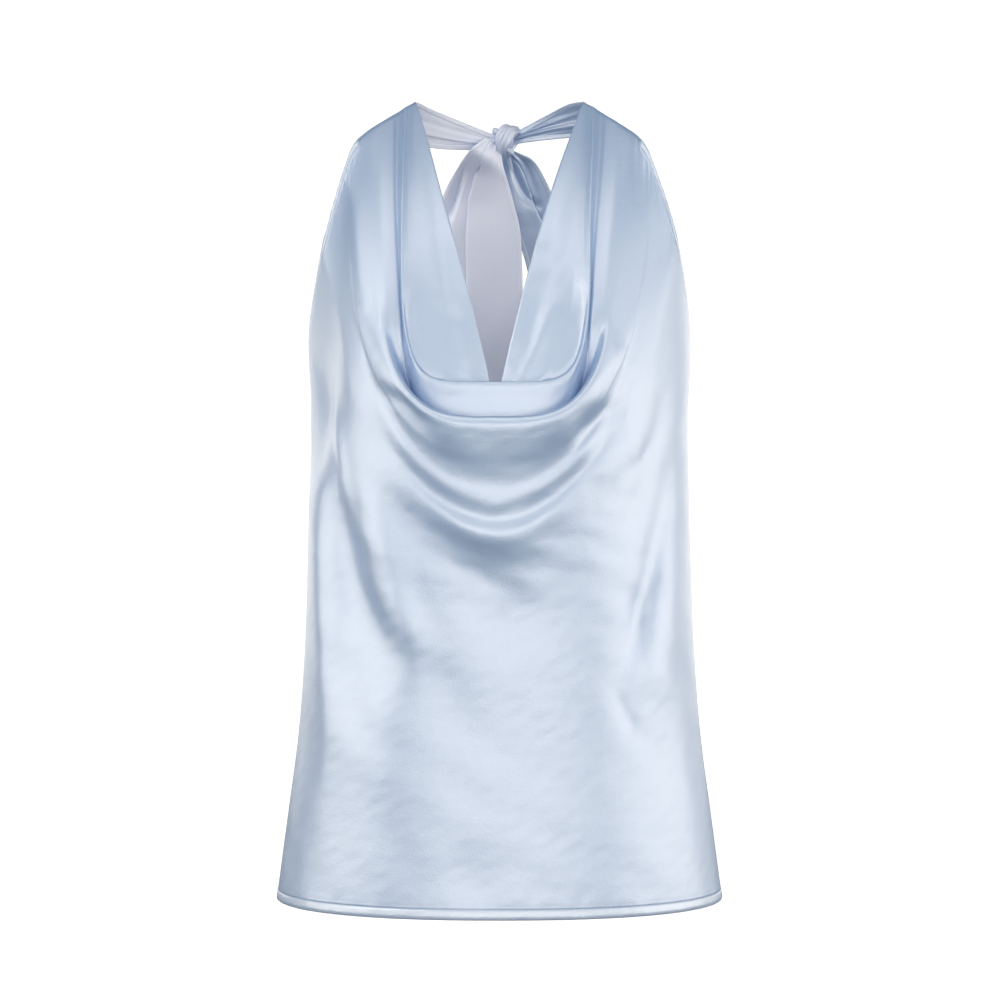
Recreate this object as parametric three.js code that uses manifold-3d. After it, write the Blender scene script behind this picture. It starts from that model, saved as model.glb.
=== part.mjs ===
// A halter neck top in satin, in the hollow shape that it keeps when worn, with nobody in it.
// The front hangs in a cowl of two rolls, and its facing turns in over the neckline and falls inside.
// The back is scooped low. Two neck straps carry the front from the shoulders to a knot at the nape,
// and the two tie ends hang from the knot down the back.
// Millimetres. +Z is up, the front faces -Y, and "left" and "right" are as seen from the front.
// Heights in the tables are measured up from the hem, and depths from the plane of the side seams.
import * as THREE from "three";
import { mergeVertices } from "three/addons/utils/BufferGeometryUtils.js";
import Module from "manifold-3d";

// Driving dimensions
const HEM_TO_SHOULDER = 632; // hem to the highest point of the front, beside the neck
const UNDERARM = 446; // top of the side seam
const SHOULDER_CORNER = 602; // where the armhole meets the shoulder edge
const BACK_SCOOP = 398; // lowest point of the back's upper edge
const CLOTH = 1.2; // wall of every cloth piece
const SEAM_GAP = 0.3; // between pieces that are sewn together
const NAPE = { y: 62, z: 612 }; // where the wearer's neck holds the top up
const COWL_SHIFT = -3; // the cowl hangs this far off centre, towards the left
const SECTION_POWER = 2.3; // of the figure's rounded sections, where 2 is an ellipse

// Steps of the walls' lattices
const FRONT_COLUMNS = 36;
const BACK_COLUMNS = 40;
const BACK_STEPS = 16;
const STRAP_COLUMNS = 8;
const TIE_COLUMNS = 8;
const STATION_STEPS = 3; // lattice steps from one station of a strap or tie end to the next

const SATIN = { color: 0xb9cce6, roughness: 0.35, metalness: 0 };

// The outline of the front, from the hem up the side seam, round the armhole and along the shoulder
const OUTLINE = [
  { z: 0, x: 177 },
  { z: 34, x: 173 },
  { z: 98, x: 163.5 },
  { z: 162, x: 157 },
  { z: 242, x: 153 },
  { z: 306, x: 151.5 },
  { z: 370, x: 150 },
  { z: UNDERARM, x: 152.3 },
  { z: 482, x: 148.5 },
  { z: 514, x: 140 },
  { z: 546, x: 131.5 },
  { z: 578, x: 121 },
  { z: 594, x: 115 },
  { z: SHOULDER_CORNER, x: 109 },
  { z: 610, x: 99 },
  { z: 618, x: 87.5 },
  { z: 626, x: 76 },
  { z: HEM_TO_SHOULDER, x: 67 },
];

// The general figure that the cloth hangs on: how far it stands forward and back of the side seams,
// and how much wider it is than the outline
const FIGURE = [
  { z: 0, front: 131, back: 120, wider: 0 },
  { z: 162, front: 121, back: 108, wider: 0 },
  { z: 306, front: 118, back: 95, wider: 0 },
  { z: 394, front: 121, back: 98, wider: 0 },
  { z: UNDERARM, front: 113, back: 100, wider: 0 },
  { z: 514, front: 87, back: 100, wider: 25 },
  { z: 560, front: 63, back: 92, wider: 40 },
  { z: SHOULDER_CORNER, front: 33, back: 76, wider: 56 },
  { z: HEM_TO_SHOULDER, front: 8, back: 60, wider: 95 },
];

// The front's rows of cloth, from the hem up to the cowl's crest, over its edge and down the facing.
// Each runs from one side of the outline, at height end, down to height mid and up again. wide is half
// its width low down, where that isn't the outline's. square is 1 for a V, 2 for an ellipse and more for
// a U. middle, flank and shoulder say how far it stands proud of the figure at its middle, halfway and
// at its ends. steps is the number of lattice steps up to the next row.
const FRONT_ROWS = [
  { name: "hem", end: 0, mid: 0, square: 2, middle: 0, flank: 0, shoulder: 0, steps: 3 },
  { name: "hip", end: 66, mid: 62, square: 2, middle: 0, flank: 0, shoulder: 0, steps: 2 },
  { name: "seat", end: 132, mid: 122, square: 2, middle: 0, flank: 0, shoulder: 0, steps: 2 },
  { name: "waist", end: 200, mid: 174, square: 2, middle: 1, flank: 0, shoulder: 0, steps: 2 },
  { name: "over_waist", end: 268, mid: 216, square: 2, middle: 2, flank: 0, shoulder: 0, steps: 2 },
  { name: "midriff", end: 330, mid: 246, square: 2, middle: 3, flank: 0, shoulder: 0, steps: 2 },
  { name: "underbust", end: 390, mid: 266, square: 1.9, middle: 5, flank: 0, shoulder: 0, steps: 2 },
  { name: "underarm", end: UNDERARM, mid: 277, square: 1.8, middle: 7, flank: 1, shoulder: 0, steps: 2 },
  { name: "low_swag", end: 514, mid: 287, square: 1.75, middle: 11, flank: 4, shoulder: 0, steps: 2 },
  { name: "groove", end: 530, mid: 297, square: 1.8, middle: 5, flank: 1, shoulder: 0, steps: 2 },
  { name: "high_swag", end: 546, mid: 309, square: 1.85, middle: 9, flank: 4, shoulder: 0, steps: 3 },
  { name: "hollow", end: 576, mid: 343, square: 2.2, middle: -7, flank: -2, shoulder: 0, steps: 3 },
  { name: "roll_face", end: 600, wide: 113, mid: 362, square: 2.8, middle: 10, flank: 5, shoulder: 0, steps: 2 },
  { name: "roll_crest", end: 608, wide: 104, mid: 376, square: 3.2, middle: 19, flank: 6, shoulder: 1, steps: 2 },
  { name: "roll_back", end: 615, wide: 92, mid: 373, square: 3.8, middle: 9, flank: 3, shoulder: 1, steps: 3 },
  { name: "pouch", end: 620, wide: 80, mid: 354, square: 4, middle: -4, flank: -7, shoulder: -4, steps: 3 },
  { name: "bib", end: 623, wide: 74.5, mid: 368, square: 4.6, middle: -9, flank: -6, shoulder: -3, steps: 3 },
  { name: "crest", end: 627, wide: 72, mid: 404, square: 6, middle: 3, flank: 4, shoulder: 2, steps: 2 },
  { name: "turn", end: 628, wide: 68, mid: 403, square: 6, middle: -2, flank: 1, shoulder: 0, steps: 2 },
  { name: "facing_fall", end: 629.5, wide: 66, mid: 394, square: 3, middle: -9, flank: -4, shoulder: -1, steps: 2 },
  { name: "facing", end: 631, wide: 66, mid: 388, square: 1.6, middle: -15, flank: -7, shoulder: -1, steps: 2 },
  { name: "free_edge", end: HEM_TO_SHOULDER, mid: 382, square: 0.92, middle: -19, flank: -9, shoulder: -1, steps: 0 },
];

// Long soft folds that run up the body, each a line on the panel from its foot to its head. rise is how
// far it stands proud, or lies deep where it is below zero, and reach is half its width.
const LONG_FOLDS = [
  { side: "front", footX: -133, footZ: 90, headX: -146, headZ: 330, rise: 3.5, reach: 9 },
  { side: "front", footX: -112, footZ: 130, headX: -118, headZ: 360, rise: -4, reach: 17 },
  { side: "front", footX: 92, footZ: 170, headX: 143, headZ: 384, rise: -4, reach: 9 },
  { side: "front", footX: 118, footZ: 150, headX: 139, headZ: 290, rise: 3, reach: 10 },
  { side: "back", footX: -100, footZ: 0, headX: -66, headZ: 330, rise: 4, reach: 20 },
  { side: "back", footX: -46, footZ: 20, headX: -24, headZ: 380, rise: -5, reach: 20 },
  { side: "back", footX: 14, footZ: 0, headX: 20, headZ: 350, rise: 4, reach: 18 },
  { side: "back", footX: 74, footZ: 10, headX: 58, headZ: 360, rise: -5, reach: 19 },
  { side: "back", footX: 124, footZ: 0, headX: 98, headZ: 300, rise: 4, reach: 17 },
];

// Stations of a neck strap past the front's shoulder edge and on to the knot, for the right-hand strap.
// top and low are the band's upper and lower edges, crease is the depth of its lengthwise folds, and
// drift is the share of the knot's offset from the centre that the band has taken up.
const STRAP_STATIONS = [
  { topX: 65, topY: 4, topZ: 633, lowX: 104, lowY: -6, lowZ: 602.5, crease: 0.5, drift: 0 },
  { topX: 55, topY: 24, topZ: 629, lowX: 80, lowY: 22, lowZ: 601, crease: 1.5, drift: 0.2 },
  { topX: 35, topY: 47, topZ: 622.5, lowX: 44, lowY: 49, lowZ: 602, crease: 2, drift: 0.6 },
  { topX: 10.5, topY: 68, topZ: 616.5, lowX: 10, lowY: 69, lowZ: 605.5, crease: 0.8, drift: 1 },
];
const STRAP_CREASES = 2; // lengthwise folds across the band
const STRAP_START = { up: 1.2, back: 1.1 }; // the strap's first line, from the front's shoulder edge

// Stations of the two tie ends, from the knot down. step is how much nearer the front the ribbon's
// right part lies than its left, across a lengthwise fold.
const LEFT_TIE_STATIONS = [
  { leftX: -13.5, leftY: 57.5, leftZ: 612.5, rightX: -2.2, rightY: 66, rightZ: 604.2, step: 0 },
  { leftX: -24, leftY: 48, leftZ: 601.5, rightX: -0.5, rightY: 72, rightZ: 590, step: 1 },
  { leftX: -36, leftY: 76, leftZ: 587, rightX: 4.5, rightY: 85, rightZ: 577, step: 4 },
  { leftX: -47, leftY: 96, leftZ: 567, rightX: 9, rightY: 96, rightZ: 561, step: 5 },
  { leftX: -53, leftY: 102, leftZ: 540, rightX: 14, rightY: 102, rightZ: 540, step: 6 },
  { leftX: -54, leftY: 105, leftZ: 490, rightX: 17, rightY: 105, rightZ: 490, step: 6 },
  { leftX: -52, leftY: 107, leftZ: 390, rightX: 18, rightY: 107, rightZ: 390, step: 5 },
  { leftX: -50, leftY: 107, leftZ: 286, rightX: 18, rightY: 107, rightZ: 278, step: 4 },
];
const RIGHT_TIE_STATIONS = [
  { leftX: 4.5, leftY: 67.5, leftZ: 599.7, rightX: 13, rightY: 67.5, rightZ: 602.6, step: 0 },
  { leftX: 4.5, leftY: 78, leftZ: 589, rightX: 28, rightY: 78, rightZ: 595, step: -2 },
  { leftX: 8, leftY: 91, leftZ: 573, rightX: 37.5, rightY: 91, rightZ: 578, step: -3 },
  { leftX: 12, leftY: 99, leftZ: 556, rightX: 45, rightY: 99, rightZ: 560, step: -4 },
  { leftX: 18, leftY: 104, leftZ: 538, rightX: 53, rightY: 104, rightZ: 542, step: -4 },
  { leftX: 25, leftY: 107, leftZ: 494, rightX: 68, rightY: 107, rightZ: 497, step: -4 },
  { leftX: 28, leftY: 108, leftZ: 400, rightX: 80, rightY: 108, rightZ: 400, step: -3 },
  { leftX: 28, leftY: 108, leftZ: 292, rightX: 84, rightY: 108, rightZ: 300, step: -2 },
];

// The knot: a core that the straps run into, and the turn of cloth that is pulled tight round it
const KNOT = { x: 4.5, y: 68, z: 612.5, halfWidth: 9.5, halfDepth: 8, halfHeight: 11.5 };
const KNOT_TURN = { radius: 7, cord: 3.6, lean: 0.55 };

/** A smooth value from a table's column at a height: a cubic that never overshoots its rows. */
function column(table, key, z) {
  const last = table.length - 1;
  if (z <= table[0].z) return table[0][key];
  if (z >= table[last].z) return table[last][key];
  const slope = (k) => (table[k + 1][key] - table[k][key]) / (table[k + 1].z - table[k].z);
  const tangent = (k) => {
    if (k === 0) return slope(0);
    if (k === last) return slope(last - 1);
    const [before, after] = [slope(k - 1), slope(k)];
    return before * after <= 0 ? 0 : (2 * before * after) / (before + after);
  };
  const k = table.findIndex((row, n) => n < last && z < table[n + 1].z);
  const span = table[k + 1].z - table[k].z;
  const t = (z - table[k].z) / span;
  const rise = t * t * (3 - 2 * t);
  const bend = span * t * (1 - t) * (tangent(k) * (1 - t) - tangent(k + 1) * t);
  return table[k][key] * (1 - rise) + table[k + 1][key] * rise + bend;
}

/** The figure's depth behind or before the side seams, at a place across and up it. */
function figureDepth(x, z, side) {
  const half = column(OUTLINE, "x", z) + column(FIGURE, "wider", z);
  const share = Math.min(1, Math.abs(x) / half);
  return column(FIGURE, side, z) * (1 - share ** SECTION_POWER) ** (1 / SECTION_POWER);
}

/** How far the long folds lift one side's cloth at a place across and up it. */
function foldRise(x, z, side) {
  let rise = 0;
  for (const fold of LONG_FOLDS.filter((f) => f.side === side)) {
    const along = (z - fold.footZ) / (fold.headZ - fold.footZ);
    const line = fold.footX + (fold.headX - fold.footX) * along;
    const fade = THREE.MathUtils.smoothstep(along, -0.1, 0.3) * (1 - THREE.MathUtils.smoothstep(along, 0.6, 1.1));
    const foot = fold.footZ < 1 ? 1 - THREE.MathUtils.smoothstep(along, 0.3, 1) : fade;
    rise += fold.rise * foot * Math.exp(-(((x - line) / fold.reach) ** 2));
  }
  return rise;
}

/** How proud a row stands of the figure at a share of the way from its middle to its end. */
function proud(row, share) {
  const half = 0.55;
  const ease = (t) => (1 - Math.cos(Math.PI * t)) / 2;
  if (share < half) return row.middle + (row.flank - row.middle) * ease(share / half);
  return row.flank + (row.shoulder - row.flank) * ease((share - half) / (1 - half));
}

/** Points at even distances along a line, ends included. */
function evenly(line, count) {
  const run = [0];
  for (let k = 1; k < line.length; k++) run.push(run[k - 1] + line[k].distanceTo(line[k - 1]));
  const points = [];
  for (let i = 0, k = 0; i <= count; i++) {
    const at = (run[run.length - 1] * i) / count;
    while (k < line.length - 2 && run[k + 1] < at) k++;
    points.push(line[k].clone().lerp(line[k + 1], Math.min(1, (at - run[k]) / (run[k + 1] - run[k]))));
  }
  return points;
}

/** One row of the front's cloth, as evenly spaced points from its left end to its right end. */
function frontRow(row) {
  const FINE = 160;
  const endX = column(OUTLINE, "x", row.end);
  const wide = row.wide ?? endX;
  const half = [];
  for (let k = 0; k <= FINE; k++) {
    const turn = ((k / FINE) * Math.PI) / 2;
    const climb = 1 - Math.cos(turn) ** (2 / row.square);
    const flare = (endX - wide) * THREE.MathUtils.smoothstep(climb, 0.45, 1);
    const x = wide * Math.sin(turn) ** (2 / row.square) + flare;
    const z = row.mid + (row.end - row.mid) * climb;
    half.push(new THREE.Vector3(x, -figureDepth(x, z, "front"), z));
  }
  const middleColumn = FRONT_COLUMNS / 2;
  const right = evenly(half, middleColumn);
  right.forEach((p, k) => {
    p.y -= proud(row, k / middleColumn);
  });
  const left = right.slice(1).reverse().map((p) => new THREE.Vector3(-p.x, p.y, p.z));
  return [...left, ...right].map((p, k) => {
    const share = Math.abs(k / middleColumn - 1);
    const inward = 1 - THREE.MathUtils.smoothstep(share, 0.6, 1);
    p.x += COWL_SHIFT * inward * THREE.MathUtils.smoothstep(p.z, 200, 330);
    const seam = 1 - THREE.MathUtils.smoothstep(share, 0.94, 1);
    p.y -= foldRise(p.x, p.z, "front") * seam;
    return p;
  });
}

/** A lattice: smooth curves through the rows' points, cut into each row's number of steps. */
function lattice(lines, steps) {
  const curves = lines[0].map(
    (_, c) => new THREE.CatmullRomCurve3(lines.map((line) => line[c]), false, "centripetal"),
  );
  const spans = lines.length - 1;
  const made = [];
  for (let r = 0; r < spans; r++) {
    for (let s = 0; s < steps[r]; s++) {
      made.push(curves.map((curve) => curve.getPoint((r + s / steps[r]) / spans)));
    }
  }
  made.push(curves.map((curve) => curve.getPoint(1)));
  return made;
}

/** The normals of a lattice whose rows run left to right and climb, towards the viewer of that. */
function latticeNormals(points, sideSeam) {
  const [lastRow, lastColumn] = [points.length - 1, points[0].length - 1];
  return points.map((line, r) =>
    line.map((p, c) => {
      const across = line[Math.min(c + 1, lastColumn)].clone().sub(line[Math.max(c - 1, 0)]);
      const up = points[Math.min(r + 1, lastRow)][c].clone().sub(points[Math.max(r - 1, 0)][c]);
      const normal = across.cross(up);
      if (sideSeam && (c === 0 || c === lastColumn) && p.z <= UNDERARM) normal.y = 0;
      return normal.normalize();
    }),
  );
}

/** A closed wall of cloth, half its thickness to each side of a lattice of points. */
function wall(points, sideSeam = false) {
  const normals = latticeNormals(points, sideSeam);
  const [rows, columns] = [points.length, points[0].length];
  const positions = [];
  for (const side of [0.5, -0.5]) {
    points.forEach((line, r) =>
      line.forEach((p, c) => {
        positions.push(...p.clone().addScaledVector(normals[r][c], side * CLOTH).toArray());
      }),
    );
  }
  const outer = (r, c) => r * columns + c;
  const inner = (r, c) => rows * columns + r * columns + c;
  const index = [];
  const quad = (a, b, c, d) => index.push(a, b, c, a, c, d);
  for (let r = 0; r < rows - 1; r++) {
    for (let c = 0; c < columns - 1; c++) {
      quad(outer(r, c), outer(r, c + 1), outer(r + 1, c + 1), outer(r + 1, c));
      quad(inner(r, c), inner(r + 1, c), inner(r + 1, c + 1), inner(r, c + 1));
    }
    quad(outer(r, 0), outer(r + 1, 0), inner(r + 1, 0), inner(r, 0));
    quad(inner(r, columns - 1), inner(r + 1, columns - 1), outer(r + 1, columns - 1), outer(r, columns - 1));
  }
  for (let c = 0; c < columns - 1; c++) {
    quad(inner(0, c), inner(0, c + 1), outer(0, c + 1), outer(0, c));
    quad(outer(rows - 1, c), outer(rows - 1, c + 1), inner(rows - 1, c + 1), inner(rows - 1, c));
  }
  const geometry = new THREE.BufferGeometry();
  geometry.setAttribute("position", new THREE.Float32BufferAttribute(positions, 3));
  geometry.setIndex(index);
  return mergeVertices(geometry, 1e-4);
}

/** A cloth piece as a named mesh. */
function piece(name, geometry) {
  geometry.computeVertexNormals();
  const mesh = new THREE.Mesh(geometry, new THREE.MeshStandardMaterial(SATIN));
  mesh.name = name;
  return mesh;
}

/** The front's lattice, with the cowl and the facing that is cut in one with it. */
function frontLattice() {
  const steps = FRONT_ROWS.map((row) => row.steps);
  const points = lattice(FRONT_ROWS.map(frontRow), steps);
  points.flat().forEach((p) => {
    p.y = Math.min(p.y, -SEAM_GAP / 2);
  });
  return points;
}

/** The line along which a strap leaves the front's shoulder edge, from its corner to the neck. */
function shoulderLine(points, side) {
  const corner = FRONT_ROWS.findIndex((row) => row.name === "roll_face");
  const first = FRONT_ROWS.slice(0, corner).reduce((sum, row) => sum + row.steps, 0);
  const edge = points.slice(first).map((line) => line[side > 0 ? FRONT_COLUMNS : 0]);
  const start = new THREE.Vector3(0, STRAP_START.back, STRAP_START.up);
  return evenly(edge, STRAP_COLUMNS).map((p) => p.add(start));
}

/** The back, from the hem up to its scooped edge. */
function back() {
  const rows = [];
  for (let r = 0; r <= BACK_STEPS; r++) {
    const line = [];
    for (let c = 0; c <= BACK_COLUMNS; c++) {
      const turn = Math.PI * (c / BACK_COLUMNS - 0.5);
      const across = Math.sin(turn);
      const top = BACK_SCOOP + (UNDERARM - BACK_SCOOP) * Math.abs(across) ** 3;
      const z = (top * r) / BACK_STEPS;
      const x = -across * column(OUTLINE, "x", z);
      const seam = 1 - Math.abs(across) ** 8;
      const y = figureDepth(x, z, "back") + foldRise(x, z, "back") * seam;
      line.push(new THREE.Vector3(x, Math.max(y, SEAM_GAP / 2), z));
    }
    rows.push(line);
  }
  return piece("back", wall(rows, true));
}

/** A neck strap, from the front's shoulder edge. side is 1 for the right and -1 for the left. */
function strap(name, frontPoints, side) {
  const stations = STRAP_STATIONS.map((station) => {
    const drift = KNOT.x * station.drift;
    const top = new THREE.Vector3(side * station.topX + drift, station.topY, station.topZ);
    const low = new THREE.Vector3(side * station.lowX + drift, station.lowY, station.lowZ);
    const line = [];
    for (let c = 0; c <= STRAP_COLUMNS; c++) {
      const t = c / STRAP_COLUMNS;
      const p = low.clone().lerp(top, t);
      p.y += station.crease * Math.sin(2 * Math.PI * STRAP_CREASES * t) * Math.sin(Math.PI * t);
      line.push(p);
    }
    return line;
  });
  const lines = [shoulderLine(frontPoints, side), ...stations];
  return piece(name, wall(lattice(lines, lines.map(() => STATION_STEPS))));
}

/** A tie end, hanging from the knot outside the back. */
function tieEnd(name, stations) {
  const lines = stations.map((station) => {
    const line = [];
    for (let c = 0; c <= TIE_COLUMNS; c++) {
      const t = c / TIE_COLUMNS;
      const x = THREE.MathUtils.lerp(station.leftX, station.rightX, t);
      const z = THREE.MathUtils.lerp(station.leftZ, station.rightZ, t);
      const fold = station.step * (THREE.MathUtils.smoothstep(t, 0.25, 0.6) - 0.5);
      const y = THREE.MathUtils.lerp(station.leftY, station.rightY, t) - fold;
      line.push(new THREE.Vector3(x, y, z));
    }
    return line;
  });
  return piece(name, wall(lattice(lines, lines.map(() => STATION_STEPS))));
}

const manifold = await Module();
manifold.setup();

/** A closed geometry as a solid that can be joined. */
function solid(geometry) {
  geometry.deleteAttribute("normal");
  geometry.deleteAttribute("uv");
  const merged = mergeVertices(geometry, 1e-4);
  const mesh = new manifold.Mesh({
    numProp: 3,
    vertProperties: merged.attributes.position.array,
    triVerts: new Uint32Array(merged.index.array),
  });
  return new manifold.Manifold(mesh);
}

/** The knot at the nape. */
function knot() {
  const core = new THREE.SphereGeometry(1, 20, 12);
  core.scale(KNOT.halfWidth, KNOT.halfDepth, KNOT.halfHeight);
  const turn = new THREE.TorusGeometry(KNOT_TURN.radius, KNOT_TURN.cord, 10, 24);
  turn.rotateY(Math.PI / 2 + KNOT_TURN.lean);
  const joined = solid(core).add(solid(turn)).getMesh();
  const geometry = new THREE.BufferGeometry();
  geometry.setAttribute("position", new THREE.BufferAttribute(joined.vertProperties, 3));
  geometry.setIndex(new THREE.BufferAttribute(joined.triVerts, 1));
  geometry.translate(KNOT.x, KNOT.y, KNOT.z);
  return piece("knot", geometry);
}

const frontPoints = frontLattice();
const halterTop = new THREE.Group();
halterTop.add(piece("front", wall(frontPoints, true)), back(), knot());
halterTop.add(strap("strap_left", frontPoints, -1), strap("strap_right", frontPoints, 1));
halterTop.add(tieEnd("tie_end_left", LEFT_TIE_STATIONS), tieEnd("tie_end_right", RIGHT_TIE_STATIONS));
halterTop.position.set(0, -NAPE.y, -NAPE.z);
const model = new THREE.Group();
model.add(halterTop);
export default model;
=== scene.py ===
"""Looks of a halter neck top in pale blue satin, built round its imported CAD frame.

Each cloth piece is a thin shell on the form of its CAD solid, worked out from the same tables of rows
and stations, with the creases, puckers and hems of the real cloth added. Tables are in millimetres:
heights up from the hem and depths from the plane of the side seams, and -Y is the front.
"""

import logging
import math
from dataclasses import dataclass, field
from enum import Enum
from typing import Sequence

import bpy
import numpy as np
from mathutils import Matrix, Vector

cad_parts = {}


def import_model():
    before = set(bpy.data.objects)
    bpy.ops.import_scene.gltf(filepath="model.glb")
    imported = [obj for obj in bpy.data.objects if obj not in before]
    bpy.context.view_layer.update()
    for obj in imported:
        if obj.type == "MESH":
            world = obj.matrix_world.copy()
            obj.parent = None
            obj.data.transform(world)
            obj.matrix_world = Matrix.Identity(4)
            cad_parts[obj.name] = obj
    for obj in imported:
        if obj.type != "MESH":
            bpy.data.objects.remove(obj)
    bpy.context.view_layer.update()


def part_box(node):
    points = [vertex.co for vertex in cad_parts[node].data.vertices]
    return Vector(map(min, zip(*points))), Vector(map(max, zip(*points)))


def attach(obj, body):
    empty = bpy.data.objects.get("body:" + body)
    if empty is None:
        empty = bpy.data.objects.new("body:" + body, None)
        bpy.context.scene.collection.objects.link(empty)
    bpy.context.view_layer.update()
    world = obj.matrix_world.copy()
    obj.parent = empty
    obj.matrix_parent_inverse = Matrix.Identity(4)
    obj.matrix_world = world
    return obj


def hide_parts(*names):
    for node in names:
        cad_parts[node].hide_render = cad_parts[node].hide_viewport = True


LOG = logging.getLogger("halter_top")
MM = 0.001

UNDERARM = 446.0
SHOULDER_CORNER = 602.0
HEM_TO_SHOULDER = 632.0
BACK_SCOOP = 398.0
SECTION_POWER = 2.3
COWL_SHIFT = -3.0
SEAM_INSET = 0.38
HEM_BAND = 7.0
CLOTH_HALF = 0.35
HEM_HALF = 0.6
STITCH_HEIGHT = HEM_HALF + 0.05


class Side(Enum):
    """Which side of the wearer, as seen from the front."""

    LEFT = -1
    RIGHT = 1


class Layer(Enum):
    """The stretches of the front's cloth that are creased, by the first and last row of each."""

    BODY = ("hem", "roll_crest")
    FACING = ("facing_fall", "free_edge")


@dataclass(frozen=True)
class ClothRow:
    """One row of the front's cloth, from the outline down to its middle and up again."""

    name: str
    end: float
    mid: float
    square: float
    middle: float = 0.0
    corner: float = 0.0
    flank: float = 0.0
    shoulder: float = 0.0
    fade: float = 0.55
    wide: float | None = None
    steps: int = 1


@dataclass(frozen=True)
class Crease:
    """A soft trough or ridge that follows a line of places across and up a piece of cloth."""

    line: tuple[tuple[float, float], ...]
    rise: float
    reach: float
    taper: float = 0.35
    layer: Layer = Layer.BODY


@dataclass(frozen=True)
class Ripple:
    """Small uneven wrinkles: their height, which ones, their wavelength and their lean in radians."""

    height: float
    seed: int
    wave: float
    lean: float


@dataclass(frozen=True)
class Station:
    """One line across a ribbon, from its first edge to its second."""

    first: tuple[float, float, float]
    second: tuple[float, float, float]
    fold: float = 0.0


OUTLINE_HEIGHTS = (0, 34, 98, 162, 242, 306, 370, UNDERARM, 482, 514, 546, 578, 594,
                   SHOULDER_CORNER, 610, 618, 626, HEM_TO_SHOULDER)
OUTLINE_HALF = (177, 173, 163.5, 157, 153, 151.5, 150, 152.3, 148.5, 140, 131.5, 121, 115,
                109, 99, 87.5, 76, 67)
FIGURE_HEIGHTS = (0, 162, 306, 394, UNDERARM, 514, 560, SHOULDER_CORNER, HEM_TO_SHOULDER)
FIGURE_FRONT = (131, 121, 118, 121, 113, 87, 63, 33, 8)
FIGURE_BACK = (120, 108, 95, 98, 100, 100, 92, 76, 60)
FIGURE_WIDER = (0, 0, 0, 0, 0, 25, 40, 56, 95)

FRONT_ROWS = (
    ClothRow("hem", 0, 0, 2, steps=24),
    ClothRow("hip", 66, 62, 2, steps=20),
    ClothRow("seat", 132, 122, 2, steps=20),
    ClothRow("waist", 200, 174, 2, 0.5, 0.5, steps=18),
    ClothRow("over_waist", 268, 215, 2, 1.4, 1, steps=16),
    ClothRow("midriff", 330, 244, 2, 3.8, 2, steps=12),
    ClothRow("underbust", 390, 264, 1.9, 6.4, 3.5, steps=10),
    ClothRow("underarm", UNDERARM, 277, 1.8, 8.8, 4.5, 1, steps=10),
    ClothRow("low_swag", 514, 289, 1.75, 10.8, 6.5, 1.5, fade=0.45, steps=8),
    ClothRow("groove", 530, 301, 1.8, 8.8, 4.8, 1.5, fade=0.45, steps=8),
    ClothRow("high_swag", 546, 314.5, 1.85, 10.8, 7, 1.5, fade=0.45, steps=8),
    ClothRow("hollow_foot", 562, 326, 2, 10.9, 6, 1.5, fade=0.45, steps=10),
    ClothRow("hollow", 578, 338, 2.25, 12.6, 7, 2, fade=0.5, steps=8),
    ClothRow("roll_under", 590, 350, 2.5, 15.4, 9.5, 3, fade=0.5, wide=118, steps=8),
    ClothRow("roll_face", 600, 362, 2.8, 17.7, 12.5, 3.5, 0, 0.5, 111, steps=8),
    ClothRow("roll_crest", 606, 372.5, 3.1, 18.8, 13.5, 3.5, 0.5, 0.5, 102, steps=6),
    ClothRow("roll_top", 610, 377.5, 3.5, 15.5, 10, 3.5, 1, 0.5, 94, steps=6),
    ClothRow("roll_back", 615, 370, 3.8, 4, -6, 3, 1, 0.45, 86, steps=8),
    ClothRow("pouch", 620, 357, 4, 1, -14, 0, 0, 0.42, 77.5, steps=10),
    ClothRow("bib", 623, 372, 4.6, -1.5, -7, -3, -1.5, 0.4, 74.8, steps=10),
    ClothRow("bib_top", 625, 391, 5.3, -3, -3, 0, 0, 0.4, 73.4, steps=8),
    ClothRow("crest", 627, 404, 6, -3, -1, 2.5, 2, 0.45, 72.5, steps=6),
    ClothRow("turn", 628, 403, 6, -7, -5, 1.6, 1.2, 0.45, 70.8, steps=8),
    ClothRow("facing_fall", 629.5, 394, 3, -12, -9, -0.8, 0.4, 0.5, 69, steps=10),
    ClothRow("facing", 631, 388, 1.6, -16, -12, -4, -0.5, 0.55, 66.5, steps=12),
    ClothRow("free_edge", HEM_TO_SHOULDER, 382, 0.92, -20, -15, -7, -1),
)
ROW_AT = {row.name: number for number, row in enumerate(FRONT_ROWS)}
STRAP_START = (0.95, 0.5)

LEFT_STRAP = (
    Station((-104, -6, 603), (-65, 4, 633), 0.6),
    Station((-80, 22, 603.5), (-55, 24, 630.5), 2.4),
    Station((-41, 49, 602.5), (-32, 47, 624), 2.6),
    Station((-7.5, 67, 605), (-7, 66, 617), 1.6),
    Station((2.5, 69, 607), (2.5, 68, 615), 0.4),
)
RIGHT_STRAP = (
    Station((106, -6, 605), (66, 4, 634), -0.4),
    Station((84, 22, 609.5), (56, 24, 635), -1.4),
    Station((49, 49, 611), (40, 47, 630), -1.6),
    Station((17, 66, 609.5), (16, 66, 620), -1.0),
    Station((6.5, 69, 608), (6.5, 68, 616), -0.4),
)

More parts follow.
